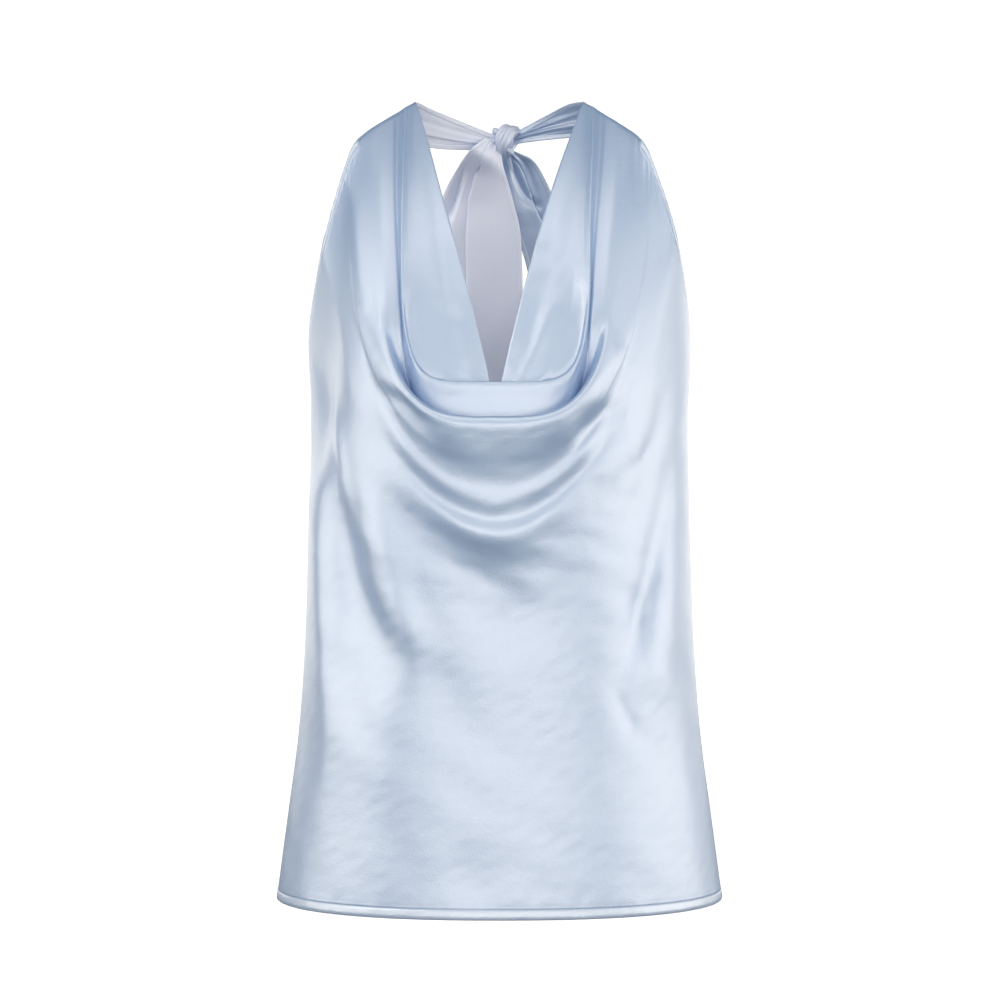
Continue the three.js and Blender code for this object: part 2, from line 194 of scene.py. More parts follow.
LEFT_TIE = (
    Station((-11.5, 60.5, 613.5), (0.5, 66, 604.2), 0.4),
    Station((-23, 52, 602.5), (3.0, 71, 590), 1.5),
    Station((-36, 72, 587), (7.0, 77, 577), 3.5),
    Station((-47, 84, 567), (11.5, 82.5, 561), 5),
    Station((-53, 90, 540), (16.5, 88.5, 540), 6),
    Station((-54, 99, 490), (19, 98, 490), 6.5),
    Station((-52, 110, 390), (19, 109, 390), 6),
    Station((-50, 110, 286), (19, 109, 278), 5),
)
RIGHT_TIE = (
    Station((2.5, 70, 600.5), (13, 68, 602.6), 0),
    Station((0.0, 82, 588), (28, 76, 596), -2),
    Station((1, 88, 573), (39, 82, 579), -3),
    Station((7, 92, 556), (47, 87, 560), -4),
    Station((14.5, 97, 538), (55, 92, 542), -4),
    Station((26.5, 106, 494), (70, 101, 497), -4),
    Station((30, 113, 400), (80, 110, 400), -3),
    Station((30, 113, 292), (84, 110, 300), -2),
)
TIE_CREASES = {
    Side.LEFT: Crease(((-29, 592), (-34, 577), (-39, 562), (-47, 540)), 6.0, 2.8),
    Side.RIGHT: Crease(((10, 594), (16, 580), (24, 566), (36, 558)), 3.4, 3.4),
}

LONG_FOLDS = {
    "front": ((-133, 90, -146, 330, 3.5, 9), (-112, 130, -118, 360, -4, 17),
              (92, 170, 143, 384, -4, 9), (118, 150, 139, 290, 3, 10)),
    "back": ((-100, 0, -66, 330, 4, 20), (-46, 20, -24, 380, -5, 20), (14, 0, 20, 350, 4, 18),
             (74, 10, 58, 360, -5, 19), (124, 0, 98, 300, 4, 17)),
}

CREASES = (
    Crease(((-142, 413), (-132, 379), (-125, 353), (-117, 319), (-110, 297)), 1.6, 4.5),
    Crease(((-141, 380), (-137, 262), (-128, 175), (-112, 60)), 3.6, 15, 0.35),
    Crease(((-134, 372), (-127, 307), (-112, 250), (-96, 212), (-78, 150)), -4.5, 14, 0.4),
    Crease(((-107, 360), (-99, 307), (-84, 255), (-70, 215), (-56, 160)), 4.5, 15, 0.4),
    Crease(((-100, 200), (-88, 130), (-80, 60)), 2.0, 26, 0.45),
    Crease(((136, 420), (128, 390), (116, 345), (98, 280)), -2.6, 9, 0.4),
    Crease(((135, 360), (117, 262), (90, 170)), -2.5, 8, 0.4),
    Crease(((134, 350), (124, 290), (112, 240)), 1.2, 9, 0.45),
    Crease(((143, 290), (134, 230), (122, 150)), 1.4, 12, 0.45),
    Crease(((131, 377), (120, 361), (110, 347), (97, 332), (84, 322)), -0.8, 5, 0.45),
    Crease(((84, 180), (96, 152), (112, 126)), -0.9, 5, 0.4),
    Crease(((112, 178), (104, 156), (96, 128)), -0.8, 5, 0.4),
    Crease(((-112, 352), (-90, 325), (-70, 302), (-45, 281), (-15, 267), (15, 264), (46, 280)), -2.6, 15),
    Crease(((-50, 272), (-18, 250), (4, 228), (14, 188)), -4.2, 24, 0.45),
    Crease(((-60, 230), (-38, 170), (-8, 100)), -2.0, 26, 0.45),
    Crease(((-50, 50), (-14, 30), (20, 22)), -1.4, 20, 0.45),
    Crease(((6, 238), (3, 208), (7, 180)), -0.4, 3.5, 0.45),
    Crease(((-104, 406), (-82, 394), (-65, 379), (-53, 367), (-41, 357)), -2.4, 7, 0.4),
    Crease(((106, 394), (91, 387), (77, 377), (62, 365), (48, 358)), -1.8, 8, 0.4),
    Crease(((-82, 424), (-76, 411), (-68, 402), (-56, 393)), -0.7, 3.0, 0.4),
    Crease(((108, 384), (99, 362), (84, 342), (66, 326)), 2.0, 11, 0.45),
    Crease(((-102, 568), (-98, 510), (-92, 450), (-84, 420)), 2.4, 17, 0.35),
    Crease(((-138, 596), (-151, 540), (-162, 490), (-166, 430), (-162, 372), (-148, 310)), -23, 33, 0.3),
    Crease(((118, 520), (112, 460), (96, 404)), 1.4, 20, 0.45),
    Crease(((-54, 600), (-44, 520), (-34, 440), (-30, 404)), -1.4, 7, 0.3, Layer.FACING),
    Crease(((-36, 470), (-26, 430), (-22, 404)), 1.6, 6, 0.35, Layer.FACING),
    Crease(((54, 590), (40, 520), (26, 450), (18, 404)), -1.5, 8, 0.3, Layer.FACING),
    Crease(((46, 480), (30, 436), (20, 404)), 1.4, 7, 0.35, Layer.FACING),
)
FRONT_RIPPLES = (Ripple(0.22, 11, 42.0, 0.9), Ripple(0.10, 12, 16.0, 2.2))
BACK_RIPPLES = (Ripple(0.15, 21, 44.0, 0.9), Ripple(0.08, 22, 17.0, 2.2))


def smoothstep(value: np.ndarray, low: float, high: float) -> np.ndarray:
    """A smooth rise from 0 at low to 1 at high."""
    t = np.clip((np.asarray(value, float) - low) / (high - low), 0.0, 1.0)
    return t * t * (3.0 - 2.0 * t)


def monotone(heights: Sequence[float], values: Sequence[float], at: np.ndarray) -> np.ndarray:
    """A smooth value from a table at some heights, which never overshoots its rows.

    Args:
        heights: the table's heights, rising.
        values: the table's values.
        at: the heights asked for.

    Returns:
        The values there.
    """
    h, v = np.asarray(heights, float), np.asarray(values, float)
    slope = np.diff(v) / np.diff(h)
    before, after = slope[:-1], slope[1:]
    both = np.where(before * after > 0, before + after, 1.0)
    inner = np.where(before * after > 0, 2 * before * after / both, 0.0)
    tangent = np.concatenate([slope[:1], inner, slope[-1:]])
    z = np.clip(np.asarray(at, float), h[0], h[-1])
    k = np.clip(np.searchsorted(h, z, side="right") - 1, 0, len(h) - 2)
    span = h[k + 1] - h[k]
    t = (z - h[k]) / span
    rise = t * t * (3 - 2 * t)
    bend = span * t * (1 - t) * (tangent[k] * (1 - t) - tangent[k + 1] * t)
    return v[k] * (1 - rise) + v[k + 1] * rise + bend


def outline_half(z: np.ndarray) -> np.ndarray:
    """Half the front's width at a height."""
    return monotone(OUTLINE_HEIGHTS, OUTLINE_HALF, z)


def figure_depth(x: np.ndarray, z: np.ndarray, side: str) -> np.ndarray:
    """How far the general figure stands forward or back of the side seams.

    Args:
        x: places across.
        z: heights.
        side: "front" or "back".

    Returns:
        The depths there.
    """
    half = outline_half(z) + monotone(FIGURE_HEIGHTS, FIGURE_WIDER, z)
    share = np.minimum(1.0, np.abs(x) / half)
    depth = monotone(FIGURE_HEIGHTS, FIGURE_FRONT if side == "front" else FIGURE_BACK, z)
    return depth * (1 - share**SECTION_POWER) ** (1 / SECTION_POWER)


def long_fold_rise(x: np.ndarray, z: np.ndarray, side: str) -> np.ndarray:
    """How far the long folds of one side lift its cloth."""
    rise = np.zeros_like(x)
    for foot_x, foot_z, head_x, head_z, lift, reach in LONG_FOLDS[side]:
        along = (z - foot_z) / (head_z - foot_z)
        line = foot_x + (head_x - foot_x) * along
        fade = smoothstep(along, -0.1, 0.3) * (1 - smoothstep(along, 0.6, 1.1))
        if foot_z < 1:
            fade = 1 - smoothstep(along, 0.3, 1)
        rise += lift * fade * np.exp(-(((x - line) / reach) ** 2))
    return rise


def arc_lengths(line: np.ndarray) -> np.ndarray:
    """The running length along a line of points."""
    steps = np.linalg.norm(np.diff(line, axis=0), axis=1)
    return np.concatenate([[0.0], np.cumsum(steps)])


def evenly(line: np.ndarray, count: int) -> np.ndarray:
    """count + 1 points at even distances along a line."""
    run = arc_lengths(line)
    at = np.linspace(0.0, run[-1], count + 1)
    return np.stack([np.interp(at, run, line[:, k]) for k in range(3)], axis=1)


def through(lines: np.ndarray, steps: Sequence[int]) -> tuple[np.ndarray, np.ndarray]:
    """A lattice of smooth centripetal curves through rows of points.

    Args:
        lines: the rows, as an array of rows, columns and coordinates.
        steps: the number of steps from each row to the next.

    Returns:
        The lattice's points, and the row number that each of its rows lies at.
    """
    padded = np.concatenate([2 * lines[:1] - lines[1:2], lines, 2 * lines[-1:] - lines[-2:-1]])
    made, at = [], []
    for r in range(len(lines) - 1):
        p = padded[r : r + 4]
        d = [np.linalg.norm(p[k + 1] - p[k], axis=1, keepdims=True) ** 0.5 for k in range(3)]
        d[1] = np.where(d[1] < 1e-4, 1.0, d[1])
        d[0] = np.where(d[0] < 1e-4, d[1], d[0])
        d[2] = np.where(d[2] < 1e-4, d[1], d[2])
        start = ((p[1] - p[0]) / d[0] - (p[2] - p[0]) / (d[0] + d[1]) + (p[2] - p[1]) / d[1]) * d[1]
        end = ((p[2] - p[1]) / d[1] - (p[3] - p[1]) / (d[1] + d[2]) + (p[3] - p[2]) / d[2]) * d[1]
        for s in range(steps[r] + (r == len(lines) - 2)):
            t = s / steps[r]
            cubic = 2 * p[1] - 2 * p[2] + start + end
            square = -3 * p[1] + 3 * p[2] - 2 * start - end
            made.append(p[1] + start * t + square * t**2 + cubic * t**3)
            at.append(r + t)
    return np.array(made), np.array(at)


def grid_normals(points: np.ndarray) -> np.ndarray:
    """Unit normals of a lattice whose rows run left to right and climb."""
    across = np.gradient(points, axis=1)
    up = np.gradient(points, axis=0)
    normal = np.cross(across, up)
    return normal / np.maximum(np.linalg.norm(normal, axis=2, keepdims=True), 1e-9)


def line_distance(
    x: np.ndarray, z: np.ndarray, line: Sequence[tuple[float, float]]
) -> tuple[np.ndarray, np.ndarray]:
    """Distance from places to a smooth line through a few points, and how far along it they are.

    Args:
        x: places across.
        z: heights.
        line: the points that the line passes through.

    Returns:
        The distances, and the shares of the line's length from 0 to 1.
    """
    rows = np.array([[(px, 0.0, pz)] for px, pz in line])
    smooth = through(rows, [6] * (len(line) - 1))[0][:, 0, :][:, [0, 2]]
    run = np.concatenate([[0.0], np.cumsum(np.linalg.norm(np.diff(smooth, axis=0), axis=1))])
    best = np.full(x.shape, 1e9)
    share = np.zeros(x.shape)
    for k in range(len(smooth) - 1):
        a, b = smooth[k], smooth[k + 1]
        span = b - a
        t = np.clip(((x - a[0]) * span[0] + (z - a[1]) * span[1]) / (span @ span), 0, 1)
        d = np.hypot(x - a[0] - span[0] * t, z - a[1] - span[1] * t)
        nearer = d < best
        best = np.where(nearer, d, best)
        share = np.where(nearer, (run[k] + (run[k + 1] - run[k]) * t) / run[-1], share)
    return best, share


def crease_rise(x: np.ndarray, z: np.ndarray, row: np.ndarray) -> np.ndarray:
    """How far the listed creases lift the cloth.

    Args:
        x: places across, as a lattice.
        z: heights, as a lattice.
        row: the row number of each of the lattice's rows.

    Returns:
        The lift of each place, along the cloth's normal.
    """
    rise = np.zeros(x.shape)
    for crease in CREASES:
        first, last = (ROW_AT[name] for name in crease.layer.value)
        soft = min(0.12 * crease.reach, 0.5 * (last - first))
        inside = smoothstep(row, first - 0.4, first) * (1 - smoothstep(row, last - soft, last + 0.4))
        inside = inside[:, None]
        distance, share = line_distance(x, z, crease.line)
        fade = smoothstep(share, 0.0, crease.taper) * (1 - smoothstep(share, 1 - crease.taper, 1.0))
        rise += crease.rise * fade * inside * np.exp(-((distance / crease.reach) ** 2))
    return rise


def ripple(u: np.ndarray, v: np.ndarray, kind: Ripple, count: int = 7) -> np.ndarray:
    """Small uneven wrinkles, as a sum of waves that mostly run one way.

    Args:
        u: lengths across the cloth.
        v: lengths up the cloth.
        kind: how high, how long and which way they are.
        count: how many waves are summed.

    Returns:
        The lift of each place.
    """
    rng = np.random.default_rng(kind.seed)
    total = np.zeros(u.shape)
    for _ in range(count):
        turn = kind.lean + rng.normal(0.0, 0.35)
        length = kind.wave * rng.uniform(0.6, 1.7)
        phase = rng.uniform(0.0, 2 * math.pi)
        total += np.sin(2 * math.pi * (u * math.cos(turn) + v * math.sin(turn)) / length + phase)
    return kind.height * (total / math.sqrt(count * 2))


def hem_half(edge: np.ndarray) -> np.ndarray:
    """Half the cloth's thickness, more where a hem is turned in."""
    return CLOTH_HALF + (HEM_HALF - CLOTH_HALF) * (1 - smoothstep(edge, HEM_BAND - 0.5, HEM_BAND + 0.5))


def hem_pucker(edge: np.ndarray, along: np.ndarray, height: float = 0.28) -> np.ndarray:
    """The small puckers that a hem's stitching draws up, at a distance from the edge and along it."""
    near = np.exp(-((edge / 11.0) ** 2))
    waves = np.sin(2 * math.pi * along / 9.5 + 1.3 * np.sin(along / 23.0))
    waves = waves + 0.6 * np.sin(2 * math.pi * along / 21.0 + 0.8)
    groove = -0.35 * np.exp(-(((edge - HEM_BAND) / 1.1) ** 2))
    return height * near * waves + groove


def seam_pucker(u: np.ndarray, z: np.ndarray) -> np.ndarray:
    """The side seams' puckers and the slight groove of the seam line."""
    away = np.minimum(u, u[:, -1:] - u)
    under = z < UNDERARM - 6
    waves = np.sin(2 * math.pi * z / 27.0 + np.sin(z / 41.0)) + 0.5 * np.sin(2 * math.pi * z / 11.5)
    return under * (0.30 * waves * np.exp(-((away / 9.0) ** 2)) - 0.5 * np.exp(-((away / 1.4) ** 2)))


class Value:
    """A socket in a node tree, with operators that add Math nodes."""

    def __init__(self, tree: bpy.types.NodeTree, socket: bpy.types.NodeSocket) -> None:
        """Keeps the tree and one output socket."""
        self.tree = tree
        self.socket = socket

    def math(self, operation: str, first: "Value | float", second: "Value | float" = 0.0) -> "Value":
        """One Math node on two values."""
        made = node(self.tree, "ShaderNodeMath", {"operation": operation}, {0: first, 1: second})
        return Value(self.tree, made.outputs[0])

    def __add__(self, other: "Value | float") -> "Value":
        """self + other."""
        return self.math("ADD", self, other)

    __radd__ = __add__

    def __mul__(self, other: "Value | float") -> "Value":
        """self * other."""
        return self.math("MULTIPLY", self, other)

    __rmul__ = __mul__

    def __sub__(self, other: "Value | float") -> "Value":
        """self - other."""
        return self.math("SUBTRACT", self, other)

    def __rsub__(self, other: "Value | float") -> "Value":
        """other - self."""
        return self.math("SUBTRACT", other, self)

    def __truediv__(self, other: "Value | float") -> "Value":
        """self / other."""
        return self.math("DIVIDE", self, other)

    def bell(self, centre: float, reach: float) -> "Value":
        """1 where self is at the centre, falling to 0 past the reach."""
        away = (self - centre) / reach
        return self.math("EXPONENT", 0.0 - away * away)


def node(
    tree: bpy.types.NodeTree,
    kind: str,
    settings: dict[str, object] | None = None,
    sockets: dict[str | int, object] | None = None,
) -> bpy.types.Node:
    """Adds one node.

    Args:
        tree: where it goes.
        kind: the node's type.
        settings: what is set on the node itself, first.
        sockets: a value or a link for each input.

    Returns:
        The node.
    """
    made = tree.nodes.new(kind)
    for key, value in (settings or {}).items():
        setattr(made, key, value)
    for key, value in (sockets or {}).items():
        if isinstance(value, Value):
            tree.links.new(value.socket, made.inputs[key])
        else:
            made.inputs[key].default_value = value
    return made


@dataclass(frozen=True)
class Satin:
    """The top's pale blue satin, smooth and softly glossy."""

    lit: tuple[float, float, float, float] = (0.27, 0.405, 0.655, 1.0)
    deep: tuple[float, float, float, float] = (0.24, 0.375, 0.635, 1.0)
    hem: tuple[float, float, float, float] = (0.44, 0.55, 0.75, 1.0)
    wrong: tuple[float, float, float, float] = (0.76, 0.815, 1.0, 1.0)
    roughness: float = 0.37
    metallic: float = 0.05
    index: float = 3.25
    sheen: float = 0.05
    sheen_roughness: float = 0.45
    weave: float = 0.25
    weave_depth: float = 1.2 * MM

    def material(self) -> bpy.types.Material:
        """The satin, whose weave follows each piece's own UV map.

        Returns:
            The material.
        """
        made = bpy.data.materials.new("pale_blue_satin")
        made.use_nodes = True
        tree = made.node_tree
        shader = tree.nodes["Principled BSDF"]
        uv = node(tree, "ShaderNodeUVMap", {"uv_map": "cloth"})
        place = Value(tree, uv.outputs["UV"])
        edge = Value(tree, node(tree, "ShaderNodeAttribute", {"attribute_name": "edge"}).outputs["Fac"])
        cloud = self._noise(tree, place, (9.0, 6.0, 1.0), 2.0)
        slub = self._noise(tree, place, (1900.0, 260.0, 1.0), 2.0)
        crinkle = self._noise(tree, place, (150.0, 190.0, 1.0), 3.0)
        grain = self._noise(tree, place, (820.0, 700.0, 1.0), 1.0)
        tint = node(tree, "ShaderNodeMix", {"data_type": "RGBA"}, {0: cloud, 6: self.deep, 7: self.lit})
        band = edge.math("LESS_THAN", edge, HEM_BAND * MM) * 0.55
        hemmed = node(
            tree, "ShaderNodeMix", {"data_type": "RGBA"},
            {0: band, 6: Value(tree, tint.outputs[2]), 7: self.hem},
        )
        dull = Value(tree, node(tree, "ShaderNodeAttribute", {"attribute_name": "dull"}).outputs["Fac"])
        sided = node(
            tree, "ShaderNodeMix", {"data_type": "RGBA"},
            {0: dull * 0.8, 6: Value(tree, hemmed.outputs[2]), 7: self.wrong},
        )
        tree.links.new(sided.outputs[2], shader.inputs["Base Color"])
        rough = (crinkle - 0.5) * 0.08 + (slub - 0.5) * 0.05 + dull * 0.22 + self.roughness
        tree.links.new(rough.socket, shader.inputs["Roughness"])
        metal = (1.0 - dull * 0.8) * self.metallic
        tree.links.new(metal.socket, shader.inputs["Metallic"])
        groove = edge.bell(HEM_BAND * MM, 0.9 * MM)
        height = slub * 0.28 + grain * 0.28 + crinkle * 0.34 - groove * 1.5
        bump = node(
            tree, "ShaderNodeBump", None,
            {"Strength": self.weave, "Distance": self.weave_depth, "Height": height},
        )
        tree.links.new(bump.outputs["Normal"], shader.inputs["Normal"])
        shader.inputs["IOR"].default_value = self.index
        shader.inputs["Sheen Weight"].default_value = self.sheen
        shader.inputs["Sheen Roughness"].default_value = self.sheen_roughness
        return made

    @staticmethod
    def _noise(
        tree: bpy.types.NodeTree, place: Value, scale: tuple[float, float, float], detail: float
    ) -> Value:
        """Noise over a stretched place."""
        stretched = node(tree, "ShaderNodeVectorMath", {"operation": "MULTIPLY"}, {0: place, 1: scale})
        made = node(
            tree, "ShaderNodeTexNoise", {"noise_dimensions": "3D"},
            {"Vector": Value(tree, stretched.outputs[0]), "Scale": 1.0, "Detail": detail},
        )
        return Value(tree, made.outputs["Fac"])


@dataclass(frozen=True)
class Thread:
    """The sewing thread of the hems."""

    colour: tuple[float, float, float, float] = (0.62, 0.71, 0.86, 1.0)

    def material(self) -> bpy.types.Material:
        """A twisted thread.

        Returns:
            The material.
        """
        made = bpy.data.materials.new("blue_thread")
        made.use_nodes = True
        tree = made.node_tree
        shader = tree.nodes["Principled BSDF"]
        place = Value(tree, node(tree, "ShaderNodeTexCoord").outputs["Object"])
        twist = node(tree, "ShaderNodeTexNoise", None, {"Vector": place, "Scale": 2600.0, "Detail": 1.0})
        shade = Value(tree, twist.outputs["Fac"]) * 0.2 + 0.5
        dark = tuple(0.8 * c for c in self.colour[:3]) + (1.0,)
        tint = node(tree, "ShaderNodeMix", {"data_type": "RGBA"}, {0: shade, 6: dark, 7: self.colour})
        tree.links.new(tint.outputs[2], shader.inputs["Base Color"])
        shader.inputs["Roughness"].default_value = 0.5
        return made


@dataclass
class Cutting:
    """The place of the top in the frame, and what every piece is made with."""

    hem_z: float
    seam_y: float
    satin: bpy.types.Material
    thread: bpy.types.Material

    def to_frame(self, points: np.ndarray) -> np.ndarray:
        """Places in the tables' millimetres as places in the frame's metres."""
        return points * MM + np.array([0.0, self.seam_y, self.hem_z])

    def mesh(
        self, name: str, vertices: np.ndarray, faces: list[tuple[int, ...]], material: bpy.types.Material,
        uv: np.ndarray | None = None, edge: np.ndarray | None = None, dull: np.ndarray | None = None,
    ) -> bpy.types.Object:
        """A smooth mesh object at the origin.

        Args:
            name: the piece's name.
            vertices: places in the frame's metres.
            faces: each face's vertex numbers, outward.
            material: its finish.
            uv: each vertex's place on the flat cloth, in metres.
            edge: each vertex's distance from the nearest hemmed edge, in metres.
            dull: how dull the cloth is at each vertex, 1 on its wrong side.

        Returns:
            The object.
        """
        data = bpy.data.meshes.new(name)
        data.from_pydata(vertices.tolist(), [], faces)
        data.update()
        data.polygons.foreach_set("use_smooth", np.ones(len(data.polygons), bool))
        if uv is not None:
            corner = np.empty(len(data.loops), int)
            data.loops.foreach_get("vertex_index", corner)
            layer = data.uv_layers.new(name="cloth")
            layer.data.foreach_set("uv", uv[corner].astype(np.float32).ravel())
        for key, values in (("edge", edge), ("dull", dull)):
            if values is not None:
                attribute = data.attributes.new(key, "FLOAT", "POINT")
                attribute.data.foreach_set("value", values.astype(np.float32))
        data.materials.append(material)
        made = bpy.data.objects.new(name, data)
        bpy.context.scene.collection.objects.link(made)
        return made

    def sheet(
        self, name: str, points: np.ndarray, half: np.ndarray, edge: np.ndarray,
        normals: np.ndarray | None = None, dull: int = 1,
    ) -> bpy.types.Object:
        """A thin shell of cloth on a lattice, with rounded edges.

        Args:
            name: the piece's name.
            points: the lattice of the cloth's middle, in the tables' millimetres.
            half: half the cloth's thickness at each place.
            edge: each place's distance from the nearest hemmed edge.
            normals: the cloth's normals, where they aren't the lattice's own.
            dull: 1 where the cloth's wrong side is away from the normals, -1 where it is towards them.

        Returns:
            The object.
        """
        rows, columns = points.shape[:2]
        facing = grid_normals(points) if normals is None else normals
        loop = [(0, c) for c in range(columns)] + [(r, columns - 1) for r in range(1, rows)]
        loop += [(rows - 1, c) for c in range(columns - 2, -1, -1)]
        loop += [(r, 0) for r in range(rows - 2, 0, -1)]
        away = np.zeros_like(points)
        for near, far in ((0, 1), (-1, -2)):
            away[near] += self._unit(points[near] - points[far])
            away[:, near] += self._unit(points[:, near] - points[:, far])
        rim = np.array([points[r, c] + away[r, c] * half[r, c] for r, c in loop])
        lift = facing * half[..., None]
        vertices = np.concatenate([(points + lift).reshape(-1, 3), (points - lift).reshape(-1, 3), rim])
        count = rows * columns
        faces = []
        for r in range(rows - 1):
            for c in range(columns - 1):
                a, b = r * columns + c, (r + 1) * columns + c
                faces.append((a, a + 1, b + 1, b))
                faces.append((count + a, count + b, count + b + 1, count + a + 1))
        for k, (r, c) in enumerate(loop):
            n = (k + 1) % len(loop)
            here, there = r * columns + c, loop[n][0] * columns + loop[n][1]
            faces.append((2 * count + k, 2 * count + n, there, here))
            faces.append((count + here, count + there, 2 * count + n, 2 * count + k))
        u = np.cumsum(np.linalg.norm(np.diff(points, axis=1, prepend=points[:, :1]), axis=2), axis=1)
        u -= u[:, columns // 2 : columns // 2 + 1]
        v = np.cumsum(np.linalg.norm(np.diff(points, axis=0, prepend=points[:1]), axis=2), axis=0)
        flat = np.stack([u, v], axis=2).reshape(-1, 2) * MM
        rim_flat = np.array([flat[r * columns + c] for r, c in loop])
        rim_edge = np.array([edge[r, c] for r, c in loop]) * MM
        each = edge.reshape(-1) * MM
        shiny, matt = np.zeros(count), np.ones(count)
        sides = (shiny, matt) if dull > 0 else (matt, shiny)
        return self.mesh(
            name, self.to_frame(vertices), faces, self.satin,
            np.concatenate([flat, flat, rim_flat]), np.concatenate([each, each, rim_edge]),
            np.concatenate([*sides, np.full(len(loop), 0.5)]),
        )

    @staticmethod
    def _unit(steps: np.ndarray) -> np.ndarray:
        """Steps scaled to a length of one."""
        return steps / np.maximum(np.linalg.norm(steps, axis=-1, keepdims=True), 1e-9)


def declare(piece: bpy.types.Object, nodes: Sequence[str]) -> None:
    """Says which body a piece rides on, which CAD nodes it stands for."""
    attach(piece, "root")
    if nodes:
        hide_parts(*nodes)
    LOG.info("%s: %d vertices", piece.name, len(piece.data.vertices))


